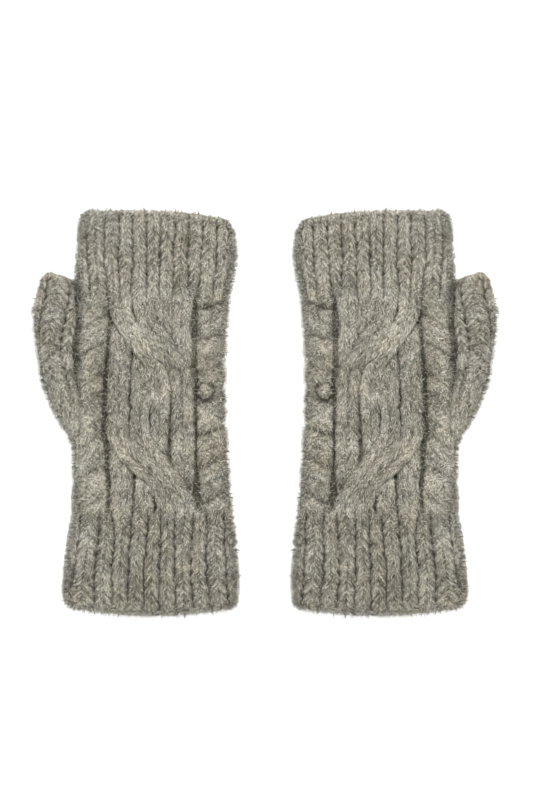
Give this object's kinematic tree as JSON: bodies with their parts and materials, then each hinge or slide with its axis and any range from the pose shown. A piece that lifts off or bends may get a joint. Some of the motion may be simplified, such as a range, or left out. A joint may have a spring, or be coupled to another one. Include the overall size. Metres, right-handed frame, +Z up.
{
  "type": "fingerless gloves",
  "caption": "Cable-knit fingerless gloves with ribbed cuffs, ribbed finger openings and open thumb sleeves, lying flat with the cabled backs up.",
  "frame": {"origin": "the middle of the pair, on the surface that the gloves lie on", "axes": "+Z up, away from the surface; +Y from the wrists to the fingers; +X from the left-hand one of the pair as laid out to the right-hand one"},
  "size_m": [0.2556, 0.2244, 0.0168],
  "materials": {
    "rib_knit": "soft brushed wool rib, warm grey marl",
    "ground_knit": "soft brushed wool ground fabric, warm grey marl",
    "cable_knit": "soft brushed wool cables, warm grey marl with cream flecks",
    "edge_knit": "soft brushed wool edge, warm grey marl",
    "seam_yarn": "linked seam in the same yarn"
  },
  "bodies": {
    "left_hand": {"left_back_panel": "ground_knit", "left_palm_panel": "ground_knit", "left_thumb_gusset": "rib_knit", "left_centre_cable": "cable_knit", "left_thumb_side_rope": "cable_knit", "left_little_side_rope": "cable_knit", "left_thumb_side_seam": "seam_yarn", "left_little_side_seam": "seam_yarn", "left_thumb_join_seam": "seam_yarn"},
    "left_cuff": {"left_wrist_rib": "rib_knit", "left_cast_on_edge": "edge_knit"},
    "left_fingers": {"left_finger_rib": "rib_knit", "left_bind_off_edge": "edge_knit"},
    "left_thumb": {"left_thumb_sleeve": "rib_knit", "left_thumb_bind_off": "edge_knit"},
    "right_hand": {"right_back_panel": "ground_knit", "right_palm_panel": "ground_knit", "right_thumb_gusset": "rib_knit", "right_centre_cable": "cable_knit", "right_thumb_side_rope": "cable_knit", "right_little_side_rope": "cable_knit", "right_thumb_side_seam": "seam_yarn", "right_little_side_seam": "seam_yarn", "right_thumb_join_seam": "seam_yarn"},
    "right_cuff": {"right_wrist_rib": "rib_knit", "right_cast_on_edge": "edge_knit"},
    "right_fingers": {"right_finger_rib": "rib_knit", "right_bind_off_edge": "edge_knit"},
    "right_thumb": {"right_thumb_sleeve": "rib_knit", "right_thumb_bind_off": "edge_knit"}
  },
  "joints": [
    {"name": "left_cuff_fold", "type": "hinge", "parent": "left_hand", "child": "left_cuff", "pos_m": [-0.062, -0.06135, 0.0155], "axis": [-1, 0, 0], "range_deg": [0, 70]},
    {"name": "left_finger_fold", "type": "hinge", "parent": "left_hand", "child": "left_fingers", "pos_m": [-0.062, 0.06985, 0.0155], "axis": [1, 0, 0], "range_deg": [0, 60]},
    {"name": "left_thumb_swing", "type": "hinge", "parent": "left_hand", "child": "left_thumb", "pos_m": [-0.1252, 0.02215, 0.007], "axis": [0, 0, 1], "range_deg": [0, 35]},
    {"name": "right_cuff_fold", "type": "hinge", "parent": "right_hand", "child": "right_cuff", "pos_m": [0.062, -0.06135, 0.0155], "axis": [-1, 0, 0], "range_deg": [0, 70]},
    {"name": "right_finger_fold", "type": "hinge", "parent": "right_hand", "child": "right_fingers", "pos_m": [0.062, 0.06985, 0.0155], "axis": [1, 0, 0], "range_deg": [0, 60]},
    {"name": "right_thumb_swing", "type": "hinge", "parent": "right_hand", "child": "right_thumb", "pos_m": [0.1252, 0.02215, 0.007], "axis": [0, 0, -1], "range_deg": [0, 35]},
    {"name": "pair_apart", "type": "slide", "parent": "left_hand", "child": "right_hand", "axis": [1, 0, 0], "range_m": [0, 0.05]}
  ]
}
